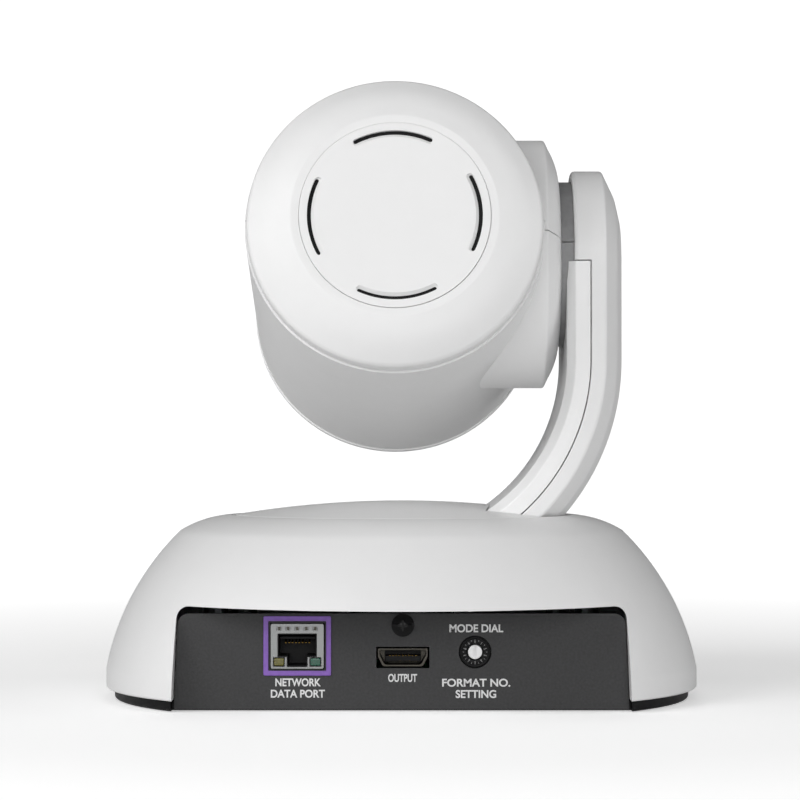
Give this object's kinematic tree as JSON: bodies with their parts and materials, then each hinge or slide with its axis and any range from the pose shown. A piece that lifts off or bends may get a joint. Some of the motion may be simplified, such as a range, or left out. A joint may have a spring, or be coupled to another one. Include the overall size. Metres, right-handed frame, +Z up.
{
  "type": "ptz camera",
  "caption": "Desk-standing pan, tilt and zoom camera: round domed base with a rear socket recess, turntable with one curved side arm, and a tilting barrel head with a lens.",
  "frame": {"origin": "on the pan axis, in the plane that the camera stands on", "axes": "+Z up along the pan axis; +Y the way the lens looks at zero pan; -Y the rear, with the socket panel; +X towards the side arm"},
  "size_m": [0.1894, 0.1815, 0.1931],
  "materials": {
    "white_shell": "fine satin moulded ABS",
    "white_trim": "satin moulded ABS, slightly lighter",
    "black_plastic": "moulded black ABS",
    "dark_panel": "fine-textured dark grey powder coat on sheet steel",
    "rubber": "matt non-slip rubber",
    "purple_trim": "printed purple frame round the network jack",
    "plated_shell": "nickel-plated pressed shell",
    "steel": "zinc-plated steel",
    "brass": "turned brass",
    "board_green": "glass-fibre circuit board with green solder mask",
    "nylon": "natural moulded nylon gear",
    "optical_glass": "coated optical glass",
    "dark_window": "polished smoked acrylic",
    "amber_light": "amber light pipe",
    "green_light": "green light pipe"
  },
  "bodies": {
    "base": {"base_shell": "white_shell", "base_plate": "black_plastic", "foot_pad_1": "rubber", "foot_pad_2": "rubber", "foot_pad_3": "rubber", "foot_pad_4": "rubber", "tripod_insert": "brass", "rear_panel": "dark_panel", "network_frame": "purple_trim", "network_jack": "plated_shell", "link_light": "amber_light", "data_light": "green_light", "video_socket": "plated_shell", "video_tongue": "black_plastic", "dial_housing": "black_plastic", "panel_screw": "steel", "main_board": "board_green", "deck_plate": "steel", "deck_post_1": "steel", "deck_post_2": "steel", "deck_post_3": "steel", "deck_post_4": "steel", "pan_bearing": "steel", "pan_motor": "black_plastic", "ir_window": "dark_window", "status_light": "green_light"},
    "dial": {"dial_rotor": "white_trim"},
    "pan_drive": {"pan_pinion": "brass"},
    "yoke": {"pan_gear": "nylon", "pan_frame": "steel", "turntable": "white_shell", "arm_shell": "white_shell", "arm_cover": "white_trim", "bearing_plate": "steel", "tilt_bearing": "steel", "tilt_motor": "black_plastic"},
    "tilt_drive": {"tilt_pinion": "brass"},
    "head": {"tilt_gear": "nylon", "tilt_shaft": "steel", "head_upper_shell": "white_shell", "head_lower_shell": "white_shell", "rear_cap": "white_shell", "vent_disc": "white_shell", "front_bezel": "white_trim", "front_window": "dark_window", "lens_barrel": "black_plastic", "front_lens": "optical_glass", "camera_bracket": "steel", "sensor_board": "board_green", "image_sensor": "dark_window", "video_board": "board_green"},
    "zoom_group": {"zoom_lens": "optical_glass"},
    "focus_group": {"focus_lens": "optical_glass"}
  },
  "joints": [
    {"name": "pan", "type": "hinge", "parent": "base", "child": "yoke", "pos_m": [0, 0, 0.06], "axis": [0, 0, 1], "range_deg": [-155, 155]},
    {"name": "tilt", "type": "hinge", "parent": "yoke", "child": "head", "pos_m": [0.055, 0, 0.1388], "axis": [1, 0, 0], "range_deg": [-17.5, 102.5]},
    {"name": "pan_pinion_spin", "type": "hinge", "parent": "base", "child": "pan_drive", "pos_m": [0, 0.0375, 0.045], "axis": [0, 0, 1], "range_deg": [-625, 625]},
    {"name": "tilt_pinion_spin", "type": "hinge", "parent": "yoke", "child": "tilt_drive", "pos_m": [0.059, 0, 0.1088], "axis": [1, 0, 0], "range_deg": [-415, 75]},
    {"name": "zoom", "type": "slide", "parent": "head", "child": "zoom_group", "axis": [0, 0.9763, -0.2164], "range_m": [-0.01, 0.008]},
    {"name": "focus", "type": "slide", "parent": "head", "child": "focus_group", "axis": [0, 0.9763, -0.2164], "range_m": [-0.003, 0.003]},
    {"name": "format_dial", "type": "hinge", "parent": "base", "child": "dial", "pos_m": [0.0224, -0.056, 0.0178], "axis": [0, -1, 0], "continuous": true}
  ],
  "couplings": [
    {"joint": "pan_pinion_spin", "follows": "pan", "ratio": -4},
    {"joint": "tilt_pinion_spin", "follows": "tilt", "ratio": -4}
  ]
}
